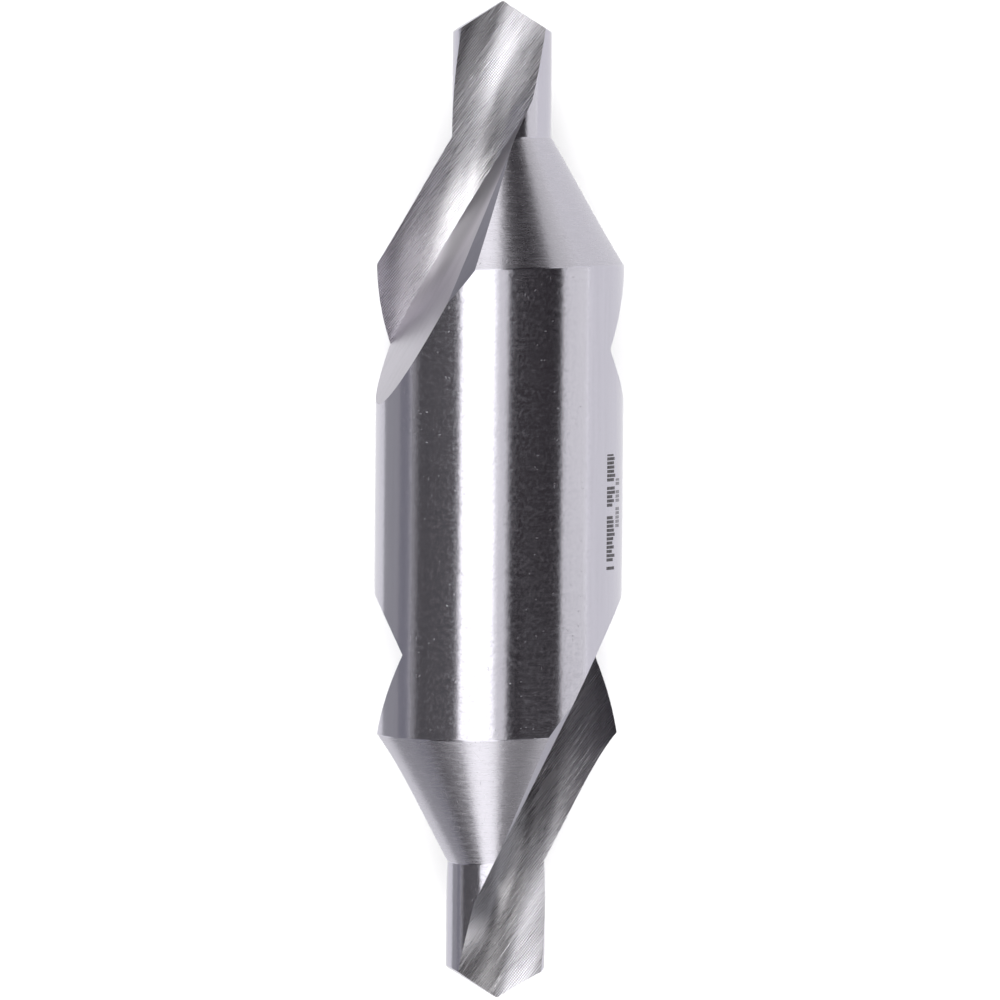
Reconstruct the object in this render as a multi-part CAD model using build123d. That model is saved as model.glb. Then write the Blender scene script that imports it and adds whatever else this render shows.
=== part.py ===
from build123d import *
import math
import os

os.makedirs("parts", exist_ok=True)

# Double-ended centre drill, millimetres, lying on its side on z = 0.
# The drill is drawn standing with one tip up, then laid down along Y.

# Body and ends
body_diameter = 20.0
overall_length = 80.7
pilot_diameter = 8.0
pilot_length = 10.9
countersink_angle = 60.0

# Ground relief on the countersink, falling from cutting edge to heel
relief = 0.3
relief_azimuth = -40.0

# Point: two flat flanks that meet in the chisel edge
point_angle = 120.0
point_clearance = 15.0
lip_azimuth = -152.8

# Flutes: a round-bottomed groove wound about the axis, right-hand
flute_count = 2
flute_lead = 91.0
flute_azimuth = -81.4
web_thickness = 1.9
opening_azimuth = 69.2
groove_runout = 0.06

# Heel side of each flute: two flats left by the run-out of the wheel.
# Depth is where each meets the axis, past the pilot's foot; azimuth is from the flute.
inner_flat_depth = 0.7
inner_flat_angle = 25.4
inner_flat_azimuth = 93.1
outer_flat_depth = -2.3
outer_flat_angle = 28.5
outer_flat_azimuth = 114.2

# The second end is ground a little round from the first
end_offset = -12.8

body_radius = body_diameter / 2
pilot_radius = pilot_diameter / 2
half_length = overall_length / 2
# Cutting shapes reach well past the drill
clear = body_diameter
block = 4 * overall_length
cone_rate = math.tan(math.radians(countersink_angle / 2))
groove_lean = math.cos(math.radians(90 - opening_azimuth))
# The groove's round bottom runs out just outside the body
groove_radius = (body_radius + groove_runout - web_thickness / 2 * groove_lean) / (1 + groove_lean)
groove_offset = web_thickness / 2 + groove_radius
seated = (Align.CENTER, Align.CENTER, Align.MIN)


def polar(radius, degrees):
    """Point at a radius and an angle in the cross-section."""
    return Vector(radius * math.cos(math.radians(degrees)), radius * math.sin(math.radians(degrees)))


def end_form():
    """Ground outline of the upper end: pilot, relieved countersink and a sleeve clear of the body."""
    pilot_foot = half_length - pilot_length
    cone_foot = pilot_foot - (body_radius + relief - pilot_radius) / cone_rate
    cone = Plane.XZ * Polygon(
        (0, -half_length),
        (body_radius + relief, -half_length),
        (body_radius, cone_foot),
        (pilot_radius - relief, pilot_foot),
        (0, pilot_foot),
        align=None,
    )
    cone = revolve(cone, Axis.Z)
    form = extrude(Circle(pilot_radius), half_length)
    for index in range(flute_count):
        form += Pos(*polar(relief, relief_azimuth + 360 / flute_count * index)) * cone
    return form


def groove_section():
    """Cross-section of a flute before its heel: half a circle with straight sides."""
    along = polar(1, opening_azimuth)
    out = polar(1, opening_azimuth - 90)
    centre = Vector(groove_offset, 0)
    inner = centre - out * groove_radius
    outer = centre + out * groove_radius
    bottom = centre - along * groove_radius
    outline = [
        ThreePointArc(inner, bottom, outer),
        Line(outer, outer + out * clear),
        Line(outer + out * clear, outer + (out + along) * clear),
        Line(outer + (out + along) * clear, inner + along * clear),
        Line(inner + along * clear, inner),
    ]
    return make_face(outline)


def flat(depth, angle, azimuth):
    """Block of steel left standing behind one heel flat."""
    outward = polar(math.cos(math.radians(angle)), flute_azimuth + azimuth)
    facing = Vector(outward.X, outward.Y, -math.sin(math.radians(angle)))
    start = Vector(0, 0, half_length - pilot_length - depth)
    return Plane(start, z_dir=facing) * Box(block, block, block, align=seated)


def flute():
    """Solid removed by one flute."""
    bottom = -half_length
    top = half_length + pilot_radius
    turn_at_bottom = flute_azimuth - 360 * overall_length / flute_lead
    section = Pos(0, 0, bottom) * Rot(0, 0, turn_at_bottom) * groove_section()
    height = top - bottom
    groove = Solid.extrude_linear_with_rotation(
        section.face(), (0, 0, bottom), (0, 0, height), 360 * height / flute_lead
    )
    inner = flat(inner_flat_depth, inner_flat_angle, inner_flat_azimuth)
    outer = flat(outer_flat_depth, outer_flat_angle, outer_flat_azimuth)
    return groove - (inner & outer)


def point_flank():
    """Solid removed above one flat flank of the point."""
    lip_slope = 1 / math.tan(math.radians(point_angle / 2))
    rise = polar(lip_slope, lip_azimuth) + polar(math.tan(math.radians(point_clearance)), lip_azimuth - 90)
    facing = Vector(rise.X, rise.Y, 1)
    return Plane((0, 0, half_length), z_dir=facing) * Box(block, block, block, align=seated)


# Each end is the same, the second turned over and a little round
ends = [Pos(0, 0, 0), Rot(0, 180, 0) * Rot(0, 0, end_offset)]
drill = extrude(Circle(body_radius), half_length, both=True)
for end in ends:
    drill = drill & end * end_form()
for end in ends:
    for index in range(flute_count):
        turn = end * Rot(0, 0, 360 / flute_count * index)
        drill = drill - turn * flute() - turn * point_flank()

drill = Pos(0, 0, body_radius) * Rot(-90, 0, 0) * drill
drill = drill.solid()
drill.label = "centre_drill"
export_step(drill, "parts/centre_drill.step")
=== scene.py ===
import math

import bmesh
import bpy
from mathutils import Matrix, Vector


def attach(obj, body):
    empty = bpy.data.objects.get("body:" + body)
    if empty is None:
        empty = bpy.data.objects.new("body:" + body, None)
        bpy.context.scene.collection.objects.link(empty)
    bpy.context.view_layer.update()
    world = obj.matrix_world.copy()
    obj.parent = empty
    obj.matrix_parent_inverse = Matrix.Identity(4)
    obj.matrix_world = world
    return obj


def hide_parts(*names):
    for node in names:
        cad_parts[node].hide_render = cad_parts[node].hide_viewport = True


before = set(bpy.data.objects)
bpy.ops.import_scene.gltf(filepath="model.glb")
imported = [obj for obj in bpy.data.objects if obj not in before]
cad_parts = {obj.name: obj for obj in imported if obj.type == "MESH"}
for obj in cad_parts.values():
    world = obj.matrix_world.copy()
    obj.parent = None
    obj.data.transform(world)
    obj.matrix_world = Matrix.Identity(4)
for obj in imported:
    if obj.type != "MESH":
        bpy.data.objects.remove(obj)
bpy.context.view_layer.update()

# Sizes in millimetres, in the standing frame: axis on Z, middle of the body at zero, a tip up
BODY_RADIUS = 10.0
PILOT_RADIUS = 4.0
HALF_LENGTH = 40.35
PILOT_LENGTH = 10.9
COUNTERSINK_ANGLE = 60.0
EDGE_BREAK = 0.03

# Relief of the countersink, and the two flat flanks of the point
RELIEF = 0.3
RELIEF_TURN = -40.0
POINT_ANGLE = 120.0
POINT_CLEARANCE = 15.0
LIP_TURN = -152.8

# Flutes, and the second end's turn from the first
FLUTE_LEAD = 91.0
FLUTE_TURN = -81.4
WEB = 1.9
OPENING_TURN = 69.2
GROOVE_RUNOUT = 0.06
END_OFFSET = -12.8

# Each heel flat: its depth past the pilot's foot, its lean, and its turn from the flute
INNER_FLAT = (0.7, 25.4, 93.1)
OUTER_FLAT = (-2.3, 28.5, 114.2)

# How far the cutting shapes reach past the drill
GROOVE_REACH = 14.0
BELOW_MIDDLE = 4.0
ABOVE_TIP = 3.0
BLOCK_SIZE = 240.0

# How finely curves are cut
BODY_STEPS = 450
BOTTOM_STEPS = 60
WALL_STEPS = 20
LEAD_STEPS = 190

# How near a point is to lie on a plane, to be one with another, and to be one with another across the seam
ON_PLANE = 1e-6
TOUCHING = 1e-4
JOINING = 2e-3

# Corners over these angles are broken, or shaded sharp
BROKEN_CORNER = 20.0
SHADED_CORNER = 12.0

# Etched bars: millimetres round the body from its top line, and along it from its middle
MARK_PLACE = 10.6
MARK_ROW = 1.7
MARK_STEP = 0.34
MARK_LOW = -5.7
MARK_HIGH = 3.9
MARK_SECOND_ROW = 0.6
MARK_SECOND_LOW = -2.1
MARK_SECOND_HIGH = 1.9
BAR_SHARE = 0.76

MILLIMETRE = 0.001
PILOT_FOOT = HALF_LENGTH - PILOT_LENGTH
CONE_RATE = math.tan(math.radians(COUNTERSINK_ANGLE / 2))
CONE_FOOT = PILOT_FOOT - (BODY_RADIUS - PILOT_RADIUS) / CONE_RATE
LIP_SLOPE = 1 / math.tan(math.radians(POINT_ANGLE / 2))
CLEARANCE_SLOPE = math.tan(math.radians(POINT_CLEARANCE))
LEAN = math.cos(math.radians(90 - OPENING_TURN))
GROOVE_RADIUS = (BODY_RADIUS + GROOVE_RUNOUT - WEB / 2 * LEAN) / (1 + LEAN)
GROOVE_OFFSET = WEB / 2 + GROOVE_RADIUS
FIRST_OPENING = math.radians(360 * HALF_LENGTH / FLUTE_LEAD - FLUTE_TURN)
SECOND_OPENING = math.radians(180 + END_OFFSET) - FIRST_OPENING


def polar(radius, degrees):
    """A point at a radius and angle round the axis."""
    turn = math.radians(degrees)
    return Vector((radius * math.cos(turn), radius * math.sin(turn), 0))


# Shader writing


class Value:
    """A number that changes over a surface, written with ordinary operators."""

    def __init__(self, finish, socket):
        self.finish = finish
        self.socket = socket

    def math(self, operation, *others):
        return self.finish.add("ShaderNodeMath", {"operation": operation}, *others)

    def of(self, operation):
        """One-number functions, such as the sine or the square root."""
        return self.math(operation, self)

    def __add__(self, other):
        return self.math("ADD", self, other)

    __radd__ = __add__

    def __mul__(self, other):
        return self.math("MULTIPLY", self, other)

    __rmul__ = __mul__

    def __sub__(self, other):
        return self.math("SUBTRACT", self, other)

    def __rsub__(self, other):
        return self.math("SUBTRACT", other, self)

    def __truediv__(self, other):
        return self.math("DIVIDE", self, other)

    def __rtruediv__(self, other):
        return self.math("DIVIDE", other, self)

    def __gt__(self, other):
        return self.math("GREATER_THAN", self, other)

    def __lt__(self, other):
        return self.math("LESS_THAN", self, other)

    def ramp(self, low, high):
        """Rises smoothly from 0 at low to 1 at high."""
        settings = {"interpolation_type": "SMOOTHSTEP"}
        return self.finish.add("ShaderNodeMapRange", settings, self, low, high)


class Finish:
    """One material and the nodes in it."""

    def __init__(self, name):
        self.material = bpy.data.materials.new(name)
        self.material.use_nodes = True
        self.tree = self.material.node_tree
        self.shader = self.tree.nodes["Principled BSDF"]

    def add(self, kind, settings, *values, out=0, **named):
        """A node of any kind: its settings first, then what feeds its sockets in order or by name."""
        node = self.tree.nodes.new(kind)
        for key, setting in settings.items():
            setattr(node, key, setting)
        free = [socket for socket in node.inputs if socket.enabled]
        for socket, value in zip(free, values):
            self.feed(socket, value)
        for key, value in named.items():
            socket = next(socket for socket in free if socket.name.replace(" ", "_") == key)
            self.feed(socket, value)
        return self.output(node, out)

    def output(self, node, out):
        """One output of a node, by name or by its place among those in use."""
        if isinstance(out, str):
            return Value(self, node.outputs[out])
        in_use = [socket for socket in node.outputs if socket.enabled]
        return Value(self, in_use[out])

    def also(self, value, out):
        """Another output of the node that a value comes from."""
        return self.output(value.socket.node, out)

    def feed(self, socket, value):
        if isinstance(value, Value):
            self.tree.links.new(value.socket, socket)
        else:
            socket.default_value = value

    def set(self, **inputs):
        """Feeds the shader's own sockets."""
        for name, value in inputs.items():
            self.feed(self.shader.inputs[name.replace("_", " ")], value)


# Mesh building


def closed(bm, name, *finishes):
    """Turns a finished bmesh into an object with its finishes in order."""
    bmesh.ops.recalc_face_normals(bm, faces=bm.faces)
    mesh = bpy.data.meshes.new(name)
    bm.to_mesh(mesh)
    bm.free()
    for finish in finishes:
        mesh.materials.append(finish.material)
    made = bpy.data.objects.new(name, mesh)
    bpy.context.scene.collection.objects.link(made)
    return made


def edges_in(items):
    """The edges among what an operator gives back."""
    return [item for item in items if isinstance(item, bmesh.types.BMEdge)]


def sliced(bm, point, facing, finish_index=0):
    """Cuts off what lies past a plane and closes the cut with one of the finishes."""
    whole = bm.verts[:] + bm.edges[:] + bm.faces[:]
    cut = bmesh.ops.bisect_plane(
        bm, geom=whole, dist=ON_PLANE, plane_co=point, plane_no=facing, clear_outer=True
    )
    for face in bmesh.ops.contextual_create(bm, geom=edges_in(cut["geom_cut"]))["faces"]:
        face.material_index = finish_index


def end_blank(finish):
    """Upper half of the drill before its flutes are ground."""
    bm = bmesh.new()
    outline = [
        (0, 0),
        (BODY_RADIUS, 0),
        (BODY_RADIUS, CONE_FOOT),
        (PILOT_RADIUS, PILOT_FOOT),
        (PILOT_RADIUS, HALF_LENGTH),
        (0, HALF_LENGTH),
    ]
    points = [bm.verts.new((radius, 0, height)) for radius, height in outline]
    lines = [bm.edges.new(pair) for pair in zip(points, points[1:])]
    bmesh.ops.spin(
        bm,
        geom=points + lines,
        cent=(0, 0, 0),
        axis=(0, 0, 1),
        angle=math.tau,
        steps=BODY_STEPS,
        use_merge=True,
    )
    bmesh.ops.remove_doubles(bm, verts=bm.verts, dist=TOUCHING)
    for corner in bm.verts:
        if CONE_FOOT - TOUCHING < corner.co.z < PILOT_FOOT + TOUCHING:
            turn = math.atan2(corner.co.y, corner.co.x) - math.radians(RELIEF_TURN)
            corner.co.z -= RELIEF * (1 - abs(math.cos(turn))) / CONE_RATE
    tip = Vector((0, 0, HALF_LENGTH))
    for turn in (0, 180):
        rise = polar(LIP_SLOPE, LIP_TURN + turn) + polar(CLEARANCE_SLOPE, LIP_TURN - 90 + turn)
        sliced(bm, tip, rise + Vector((0, 0, 1)))
    return closed(bm, "end_blank", finish)


def groove(finish):
    """The helical groove of one flute, past the body on its open sides."""
    bm = bmesh.new()
    centre = polar(GROOVE_OFFSET, 0)
    along = polar(GROOVE_REACH, OPENING_TURN)
    out = polar(GROOVE_REACH, OPENING_TURN - 90)
    inner = bm.verts.new(centre + polar(GROOVE_RADIUS, OPENING_TURN + 90))
    bottom = bmesh.ops.spin(
        bm, geom=[inner], cent=centre, axis=(0, 0, 1), angle=math.pi, steps=BOTTOM_STEPS
    )
    outer = next(item for item in bottom["geom_last"] if isinstance(item, bmesh.types.BMVert))
    wall_end = bm.verts.new(inner.co + along)
    wall = bm.edges.new((inner, wall_end))
    clear = [outer, bm.verts.new(outer.co + out), bm.verts.new(outer.co + out + along), wall_end]
    for pair in zip(clear, clear[1:]):
        bm.edges.new(pair)
    bmesh.ops.subdivide_edges(bm, edges=[wall], cuts=WALL_STEPS - 1)

    low = -BELOW_MIDDLE
    height = HALF_LENGTH + ABOVE_TIP - low
    start_turn = math.radians(FLUTE_TURN + 360 * (low - HALF_LENGTH) / FLUTE_LEAD)
    start = Matrix.Translation((0, 0, low)) @ Matrix.Rotation(start_turn, 4, "Z")
    bmesh.ops.transform(bm, matrix=start, verts=bm.verts)
    outline = bm.edges[:]
    swept = bmesh.ops.spin(
        bm,
        geom=bm.verts[:] + outline,
        cent=(0, 0, 0),
        axis=(0, 0, 1),
        dvec=(0, 0, height / LEAD_STEPS),
        angle=math.tau * height / FLUTE_LEAD,
        steps=LEAD_STEPS,
    )
    for end in (outline, edges_in(swept["geom_last"])):
        bmesh.ops.contextual_create(bm, geom=end)
    return closed(bm, "groove", finish)


def heel_block(inner, outer):
    """The steel left standing behind the two heel flats of a flute."""
    bm = bmesh.new()
    bmesh.ops.create_cube(bm, size=BLOCK_SIZE)
    for index, (past_pilot, lean, turn) in enumerate((INNER_FLAT, OUTER_FLAT)):
        outward = polar(math.cos(math.radians(lean)), FLUTE_TURN + turn)
        facing = outward - Vector((0, 0, math.sin(math.radians(lean))))
        sliced(bm, Vector((0, 0, PILOT_FOOT - past_pilot)), -facing, index)
    return closed(bm, "heel_block", inner, outer)


def take_away(piece, tool):
    """Cuts the tool's shape out of the piece and keeps each surface's finish."""
    cut = piece.modifiers.new("cut", "BOOLEAN")
    cut.operation = "DIFFERENCE"
    cut.solver = "EXACT"
    cut.material_mode = "TRANSFER"
    cut.object = tool
    bpy.context.view_layer.update()
    done = bpy.data.meshes.new_from_object(piece.evaluated_get(bpy.context.evaluated_depsgraph_get()))
    piece.modifiers.clear()
    piece.data = done


def between_finishes(mesh):
    """Makes an edge sharp where one finish meets another, however flat the corner is."""
    met = {}
    for face in mesh.polygons:
        for key in face.edge_keys:
            met.setdefault(key, set()).add(face.material_index)
    for edge in mesh.edges:
        if len(met[edge.key]) > 1:
            edge.use_edge_sharp = True


def fluted_end(ground, fluted, inner, outer):
    """Upper half of the drill with its two flutes ground."""
    half = end_blank(ground)
    tool = groove(fluted)
    block = heel_block(inner, outer)
    take_away(tool, block)
    for turn in (0, 180):
        tool.matrix_world = Matrix.Rotation(math.radians(turn), 4, "Z")
        take_away(half, tool)
    for cutter in (tool, block):
        bpy.data.objects.remove(cutter)
    return half


def drill(ground, fluted, inner, outer):
    """The whole drill in the row frame, in metres: one end, and the same end turned over."""
    made = fluted_end(ground, fluted, inner, outer)
    bm = bmesh.new()
    bm.from_mesh(made.data)
    middle = [face for face in bm.faces if all(abs(v.co.z) < TOUCHING for v in face.verts)]
    bmesh.ops.delete(bm, geom=middle, context="FACES")
    other = bmesh.ops.duplicate(bm, geom=bm.verts[:] + bm.edges[:] + bm.faces[:])
    turned_over = [item for item in other["geom"] if isinstance(item, bmesh.types.BMVert)]
    turn_over = Matrix.Rotation(math.pi, 4, "Y") @ Matrix.Rotation(math.radians(END_OFFSET), 4, "Z")
    bmesh.ops.transform(bm, matrix=turn_over, verts=turned_over)
    seam = [v for v in bm.verts if abs(v.co.z) < TOUCHING]
    bmesh.ops.remove_doubles(bm, verts=seam, dist=JOINING)

    least = math.radians(BROKEN_CORNER)
    corners = [edge for edge in bm.edges if len(edge.link_faces) == 2 and edge.calc_face_angle() > least]
    bmesh.ops.bevel(bm, geom=corners, offset=EDGE_BREAK, segments=1, affect="EDGES", clamp_overlap=True)
    lay = Matrix.Translation((0, 0, BODY_RADIUS)) @ Matrix.Rotation(-math.pi / 2, 4, "X")
    bmesh.ops.transform(bm, matrix=Matrix.Scale(MILLIMETRE, 4) @ lay, verts=bm.verts)
    bm.to_mesh(made.data)
    bm.free()
    made.data.shade_smooth()
    made.data.set_sharp_from_angle(angle=math.radians(SHADED_CORNER))
    between_finishes(made.data)
    made.name = "centre_drill_ground"
    return made


# Finishes


def placed(finish):
    """Object coordinates in millimetres from the middle of the drill: x across, y along, z up."""
    coords = finish.add("ShaderNodeTexCoord", {}, out="Object")
    per_metre = 1 / MILLIMETRE
    return finish.add(
        "ShaderNodeMapping", {}, coords, Location=(0, 0, -BODY_RADIUS), Scale=(per_metre,) * 3
    )


def parts(finish, place):
    """The three coordinates of a place."""
    x = finish.add("ShaderNodeSeparateXYZ", {}, place)
    return x, finish.also(x, 1), finish.also(x, 2)


def joined(finish, x, y, z=0.0):
    """A place from its coordinates."""
    return finish.add("ShaderNodeCombineXYZ", {}, x, y, z)


def rolled_out(finish, place):
    """The skin rolled out flat: millimetres round the body, and millimetres along it."""
    x, y, z = parts(finish, place)
    return joined(finish, x.math("ARCTAN2", x, z) * BODY_RADIUS, y)


def stretched(finish, place, scale, turn=0.0):
    """Coordinates for a pattern that is finer one way than another, turned on a flat skin."""
    flat = finish.add("ShaderNodeMapping", {}, place, Rotation=(0, 0, math.radians(turn)))
    return finish.add("ShaderNodeMapping", {}, flat, Scale=scale)


def noise(finish, place, scale, detail=3.0, turn=0.0, rough=0.55):
    """Noise from 0 to 1 with its own scale on each axis, per millimetre."""
    spot = stretched(finish, place, scale, turn)
    return finish.add("ShaderNodeTexNoise", {}, spot, Scale=1.0, Detail=detail, Roughness=rough)


def flecks(finish, place, scale, size, share, turn=0.0):
    """Scattered short marks: up to 1 inside a mark and 0 elsewhere, in only a share of the cells."""
    spot = stretched(finish, place, scale, turn)
    away = finish.add("ShaderNodeTexVoronoi", {"feature": "F1"}, spot, Scale=1.0)
    chance = finish.add("ShaderNodeSeparateColor", {}, finish.also(away, "Color"))
    return (1 - away.ramp(size * 0.4, size)) * (chance < share) * finish.also(chance, 1)


def mixed(finish, share, low, high):
    """A colour between two, by share."""
    return finish.add("ShaderNodeMix", {"data_type": "RGBA"}, share, low, high)


def bumped(finish, height, strength, distance=0.00001):
    """A surface normal from a height."""
    return finish.add(
        "ShaderNodeBump", {}, Height=height, Strength=strength, Distance=distance, out="Normal"
    )


def etched_bars(finish, skin):
    """Two rows of plain etched bars of uneven length, low on the right of the body."""
    around, along, _ = parts(finish, skin)
    row = (around - MARK_PLACE) / MARK_ROW
    step = along / MARK_STEP
    first_row = (row > 0) * (row < 1) * (along > MARK_LOW) * (along < MARK_HIGH)
    second_stretch = (along > MARK_SECOND_LOW) * (along < MARK_SECOND_HIGH)
    second_row = (row > 1) * (row < 1 + MARK_SECOND_ROW) * second_stretch
    steps_in_a_row = 57
    cell = step.of("FLOOR") + row.of("FLOOR") * steps_in_a_row
    chance = finish.add("ShaderNodeTexWhiteNoise", {"noise_dimensions": "1D"}, cell, out="Value")
    length = chance * 0.45 + 0.52
    in_bar = (row.of("FRACT") < length) * (step.of("FRACT") < BAR_SHARE) * (chance > 0.08)
    return (first_row + second_row * 0.7) * in_bar


def scuffs(finish, skin):
    """Short light marks that lie many ways, thicker in patches."""
    patch = noise(finish, skin, (0.35, 0.25, 1.0), 2.0).ramp(0.4, 0.62)
    marks = (
        flecks(finish, skin, (8.0, 1.3, 1.0), 0.3, 0.03)
        + flecks(finish, skin, (8.0, 1.8, 1.0), 0.3, 0.03, 38)
        + flecks(finish, skin, (1.6, 9.0, 1.0), 0.28, 0.03)
        + flecks(finish, skin, (9.0, 2.0, 1.0), 0.3, 0.03, -33)
        + flecks(finish, skin, (7.5, 2.6, 1.0), 0.3, 0.03, 62)
    )
    return marks * (0.3 + patch * 0.7)


def hairlines(finish, skin):
    """Long thin scratches at two slants."""
    rising = flecks(finish, skin, (9.0, 0.35, 1.0), 0.2, 0.05, 24)
    falling = flecks(finish, skin, (10.0, 0.3, 1.0), 0.2, 0.04, -41)
    return rising + falling


def ground_steel():
    """Cylindrically ground steel: fine lines round the axis, scuffs and specks; coarser on the cones."""
    finish = Finish("ground_steel")
    place = placed(finish)
    skin = rolled_out(finish, place)
    x, _, z = parts(finish, place)
    radius = (x * x + z * z).of("SQRT")
    margin = 0.06
    cone = (radius > PILOT_RADIUS + margin) * (radius < BODY_RADIUS - margin)
    around, _, _ = parts(finish, skin)
    smoother_strip = around.ramp(-1.5, 0.6) * (1 - around.ramp(4.0, 9.0))
    scuffed = (0.85 - smoother_strip * 0.2) * (1 - cone)

    lines = noise(finish, place, (0.3, 9.0, 0.3), 4.0)
    grain = noise(finish, skin, (4.0, 2.6, 1.0), 4.0, 20, 0.65)
    waver = noise(finish, skin, (0.8, 1.2, 1.0), 3.0)
    blotch = noise(finish, skin, (2.2, 0.1, 1.0), 3.0)
    streaks = noise(finish, place, (0.9, 7.0, 0.9), 4.0)
    marks = scuffs(finish, skin)
    bars = etched_bars(finish, skin)
    wear = grain.ramp(0.42, 0.7) * scuffed

    darker = blotch * 0.42 - 0.04 + marks * 0.15
    body = mixed(finish, darker, (0.6, 0.585, 0.64, 1), (0.44, 0.43, 0.48, 1))
    cones = mixed(finish, streaks, (0.5, 0.49, 0.53, 1), (0.62, 0.6, 0.65, 1))
    steel = mixed(finish, cone, body, cones)
    rough = lines * 0.08 + wear * 0.08 + marks * 0.25 + hairlines(finish, skin) * 0.1 + bars * 0.3
    height = lines * 0.25 + grain * scuffed * 0.85 + waver * 3.2 + marks + bars * -1.5
    finish.set(
        Metallic=1.0,
        Base_Color=mixed(finish, bars * (0.5 + grain * 0.8), steel, (0.07, 0.065, 0.07, 1)),
        Roughness=0.11 + rough + cone * (streaks * 0.12 + 0.05),
        Normal=bumped(finish, height + cone * streaks * 1.2, 0.3),
    )
    return finish


def flute_frame(finish, place):
    """Flat coordinates on a flute as seen from its open side, and the degrees round its bottom."""
    x, y, z = parts(finish, place)
    opening = FIRST_OPENING + (y < 0) * (SECOND_OPENING - FIRST_OPENING) - y * (math.tau / FLUTE_LEAD)
    out, across = opening.of("COSINE"), opening.of("SINE")
    side = (x * out + z * across).of("SIGN")
    depth = (x * out + z * across) * side - GROOVE_OFFSET
    sideways = (z * out - x * across) * side * y.of("SIGN")
    round_bottom = 180 + sideways.math("ARCTAN2", sideways * -1, depth * -1) * (180 / math.pi)
    return joined(finish, x * side, y, z * side), round_bottom


def grooved(finish, place, slope, pitch):
    """Fine parallel lines at a slope across the flute, from -1 to 1, a little uneven."""
    x, y, _ = parts(finish, place)
    wander = noise(finish, place, (1.2, 1.2, 1.2), 2.0) * 3
    turn = math.radians(slope)
    return ((y * math.cos(turn) - x * math.sin(turn)) * (math.tau / pitch) + wander).of("SINE")


# In the painted highlights and painted shade, what is round the groove's bottom or slanted is in degrees,
# and the rest in millimetres


def slanted(round_bottom, from_middle, start, slope):
    """Degrees round the groove's bottom, less the slope for each millimetre past the start."""
    return round_bottom - (from_middle - start) * slope


def first_end_painted_light(round_bottom, from_middle):
    """Painted highlight and painted shade in the flutes on the end at +Y: how far their colour is lightened
    and darkened.
    """
    slant = slanted(round_bottom, from_middle, start=16.5, slope=5)
    near_heel = slant.ramp(70, 120) * (1 - round_bottom.ramp(184, 196))
    foot = 1 - (from_middle - near_heel * 4).ramp(21, 26)
    bright_enough = slant.ramp(92, 104) * (1 - round_bottom.ramp(148, 158))
    painted_highlight = slant.ramp(35, 85) * foot * (1 - bright_enough * 0.6)
    open_edge = (1 - slant.ramp(25, 70)) * from_middle.ramp(18, 22)
    return painted_highlight, open_edge * 0.375


def last_end_painted_light(round_bottom, from_middle):
    """Painted highlight and painted shade in the flutes on the end at -Y: how far their colour is lightened
    and darkened.
    """
    web_side = round_bottom.ramp(178, 192) * (1 - from_middle.ramp(33, 36))
    pilot = from_middle.ramp(29.5, 31.5)
    lip = slanted(round_bottom, from_middle, start=32, slope=3).ramp(152, 164) * pilot * (1 - web_side)
    open_edge = (1 - round_bottom.ramp(90, 125)) * from_middle.ramp(19, 23)
    foot = 1 - from_middle.ramp(18, 23)
    behind_lip = 1 - from_middle.ramp(30.5, 32.5)
    middle = slanted(round_bottom, from_middle, start=27, slope=5).ramp(145, 165) * behind_lip
    return lip + open_edge * 0.8, foot * 0.5 + middle.math("MAXIMUM", middle, web_side) * 0.75


def flute_steel():
    """Form-ground steel: the wheel's lines cross the flute aslant, and painted highlights and painted shade
    lighten and darken its colour on the way.
    """
    finish = Finish("flute_steel")
    whole = placed(finish)
    place, round_bottom = flute_frame(finish, whole)
    _, along, _ = parts(finish, whole)
    from_middle = along.of("ABSOLUTE")
    first = along > 0
    # Painted highlights and painted shade for the flutes on each end, placed by position
    first_painted_highlight, first_painted_shade = first_end_painted_light(round_bottom, from_middle)
    last_painted_highlight, last_painted_shade = last_end_painted_light(round_bottom, from_middle)
    painted_highlight = first * first_painted_highlight + (1 - first) * last_painted_highlight
    painted_shade = first * first_painted_shade + (1 - first) * last_painted_shade

    lines = noise(finish, place, (9.0, 0.7, 0.5), 3.0, 40)
    fade = noise(finish, place, (0.6, 0.6, 0.6), 2.0).ramp(0.35, 0.6) * 0.6 + 0.4
    hatch = (grooved(finish, place, 52, 0.165) * 0.55 + grooved(finish, place, -42, 0.17) * 0.45) * fade
    bands = noise(finish, place, (0.8, 0.08, 0.3), 3.0, 36)
    scratch = flecks(finish, place, (5.0, 0.16, 0.25), 0.14, 0.18, 44)
    threads = noise(finish, place, (9.0, 0.12, 0.4), 2.0, 33).ramp(0.52, 0.68)

    tone = 0.28 + (lines + bands) * 0.2 + hatch * 0.7 + scratch * 0.3 + threads * 0.25
    plain = mixed(finish, tone, (0.25, 0.245, 0.27, 1), (0.95, 0.93, 0.97, 1))
    # Painted highlight: the colour lightened toward near white
    with_painted_highlight = mixed(finish, painted_highlight * (0.85 + hatch * 0.5), plain, (1.0, 0.98, 1.0, 1))
    height = lines * 0.4 + threads * 0.5 + hatch * 0.05 + bands * 0.5 + scratch
    finish.set(
        Metallic=1.0,
        # Painted shade: the colour darkened toward near black
        Base_Color=mixed(finish, painted_shade, with_painted_highlight, (0.1, 0.1, 0.11, 1)),
        Roughness=0.22 + lines * 0.12 + scratch * 0.1,
        Normal=bumped(finish, height, 0.9, 0.00002),
    )
    return finish


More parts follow.
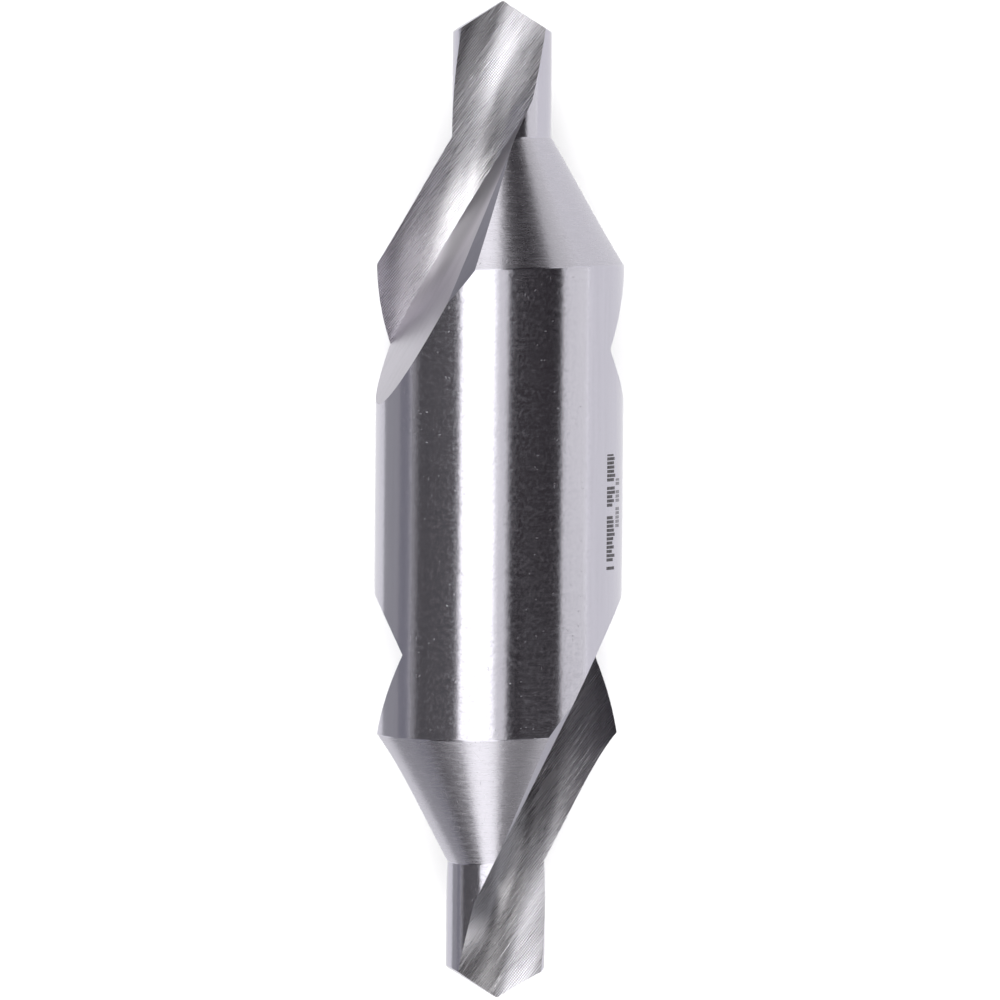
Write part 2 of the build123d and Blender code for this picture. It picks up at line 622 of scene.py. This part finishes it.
def heel_steel(name, dark, light):
    """The flats on the heel of each flute, ground with the wheel's side; darker deep in the flute as
    painted shade.
    """
    finish = Finish(name)
    place = placed(finish)
    x, _, z = parts(finish, place)
    # Painted shade: the colour darker nearer the axis, deep in the flute
    painted_depth_shade = (x * x + z * z).of("SQRT").ramp(3.6, 6.0) * 0.6 + 0.4
    lines = noise(finish, place, (4.0, 0.25, 0.5), 4.0, 30)
    fine = noise(finish, place, (9.0, 9.0, 9.0), 2.0)
    finish.set(
        Metallic=1.0,
        Base_Color=mixed(finish, painted_depth_shade * (0.55 + lines * 0.5 + fine * 0.3), dark, light),
        Roughness=0.3 + lines * 0.14,
        Normal=bumped(finish, lines * 0.4 + fine * 0.3, 0.3),
    )
    return finish


piece = drill(
    ground_steel(),
    flute_steel(),
    # The inner flat painted lighter and the outer flat darker: painted light and shade on one steel
    heel_steel("inner_heel_steel", (0.14, 0.135, 0.15, 1), (0.62, 0.6, 0.64, 1)),
    heel_steel("outer_heel_steel", (0.14, 0.135, 0.16, 1), (0.37, 0.36, 0.41, 1)),
)
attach(piece, "root")
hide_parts("centre_drill")

# Stage, light and camera


CARD_LENGTH = 8.0


def card(name, low, high, height, colour, glow, seen=True):
    """A flat level card between two places across the drill, in metres."""
    finish = Finish(name)
    shade = (*colour, 1)
    finish.set(Base_Color=shade, Roughness=0.9, Emission_Color=shade, Emission_Strength=glow)
    bm = bmesh.new()
    bmesh.ops.create_grid(bm, x_segments=1, y_segments=1, size=0.5)
    bmesh.ops.scale(bm, vec=(high - low, CARD_LENGTH, 1), verts=bm.verts)
    bmesh.ops.translate(bm, vec=((low + high) / 2, 0, height), verts=bm.verts)
    made = closed(bm, name, finish)
    if not seen:
        made.visible_camera = False
        made.visible_diffuse = False
        made.visible_shadow = False
    return made


floor = card("floor", -4, 4, 0, (0.9, 0.9, 0.9), 0)
floor.visible_glossy = False
card("bounce_card", -4, 4, -0.001, (0.88, 0.88, 0.9), 1, seen=False)
card("grey_card", -0.065, -0.0235, -0.0005, (0.36, 0.36, 0.38), 1, seen=False)
card("dark_card", -0.9, -0.065, -0.0005, (0.22, 0.22, 0.25), 1, seen=False)


def softbox(name, place, size, radiance, on_metal):
    """A rectangular light that faces the drill and lights the metal alone, or the floor alone."""
    light = bpy.data.lights.new(name, "AREA")
    light.shape = "RECTANGLE"
    light.size, light.size_y = size
    light.energy = radiance * math.pi * size[0] * size[1]
    lamp = bpy.data.objects.new(name, light)
    away = Vector((place[0], 0, place[2])).normalized()
    along = Vector((0, 1, 0))
    lamp.rotation_euler = Matrix((along.cross(away), along, away)).transposed().to_euler()
    lamp.location = place
    lamp.visible_camera = False
    lamp.visible_glossy = on_metal
    lamp.visible_diffuse = not on_metal
    bpy.context.scene.collection.objects.link(lamp)


# Softboxes round the drill, one to a line: its two sides, in degrees across the drill from straight up with
# the left negative; its two ends, in degrees along the drill; and its glow
PANELS = {
    "key": (-36, -4, -7, 7, 2.3),
    "key_top": (-46, -20, 7, 18, 2.1),
    "key_mid": (-20, -4, 7, 18, 0.7),
    "key_side": (-46, -36, 18, 30, 1.5),
    "key_edge": (-4, 8, -7, 7, 0.93),
    "key_gap": (-36, -20, -16, -7, 0.3),
    "key_gap_right": (-20, 8, -16, -7, 0.7),
    "cross_bar": (-82, -46, 7, 18, 1.1),
    "cross_bar_right": (-4, 22, 7, 18, 2.0),
    "cross_bar_end": (22, 46, 7, 18, 0.6),
    "upper": (-20, 8, 18, 45, 1.1),
    "top": (-46, -4, 45, 73, 1.7),
    "top_right": (60, 90, 30, 73, 0.8),
    "foot_bar": (-82, -46, -28, -16, 3.0),
    "foot_bar_end": (-46, -36, -28, -16, 1.7),
    "foot": (-82, -20, -40, -28, 2.3),
    "foot_low": (-62, -20, -52, -40, 1.8),
    "foot_side": (-20, -4, -52, -28, 1.2),
    "tail": (-46, 8, -73, -52, 1.8),
    "tail_right": (8, 60, -73, -52, 0.28),
    "right_patch": (-4, 60, -28, -16, 0.5),
    "right_low": (22, 60, -16, -7, 0.35),
    "side": (60, 90, -7, 7, 1.0),
    "side_tail": (60, 90, -73, -46, 0.75),
    "low_edge": (-90, -82, -16, 7, 0.3),
    "low_dim": (-82, -36, -16, 7, 0.06),
}
PANEL_DISTANCE = 0.9
for name, (left_side, right_side, low_end, high_end, glow) in PANELS.items():
    middle = math.radians((left_side + right_side) / 2)
    width = 2 * PANEL_DISTANCE * math.tan(math.radians(right_side - left_side) / 2)
    start = PANEL_DISTANCE * math.tan(math.radians(low_end))
    end = PANEL_DISTANCE * math.tan(math.radians(high_end))
    place = (PANEL_DISTANCE * math.sin(middle), (start + end) / 2, PANEL_DISTANCE * math.cos(middle))
    softbox(name, place, (width, end - start), glow, True)
softbox("fill", (0, 0, 2.5), (5, 5), 3.4, False)

world = bpy.data.worlds.new("studio")
world.use_nodes = True
world.node_tree.nodes["Background"].inputs["Color"].default_value = (0.03, 0.026, 0.03, 1)
bpy.context.scene.world = world

camera = bpy.data.cameras.new("camera")
camera.lens = 654
camera.sensor_width = 36
camera.clip_start = 0.05
camera.clip_end = 20
eye = bpy.data.objects.new("camera", camera)
tilt = math.radians(2.5)
roll = math.radians(0.45)
distance = 1.47
target = Vector((0.0001, -0.00006, 0.01))
back = Vector((0, math.sin(tilt), math.cos(tilt)))
right = Vector((1, 0, 0))
turned = Matrix((right, back.cross(right), back)).transposed() @ Matrix.Rotation(roll, 3, "Z")
eye.matrix_world = Matrix.Translation(target + back * distance) @ turned.to_4x4()
bpy.context.scene.collection.objects.link(eye)
bpy.context.scene.camera = eye

view = bpy.context.scene.view_settings
view.view_transform = "Standard"
view.look = "None"
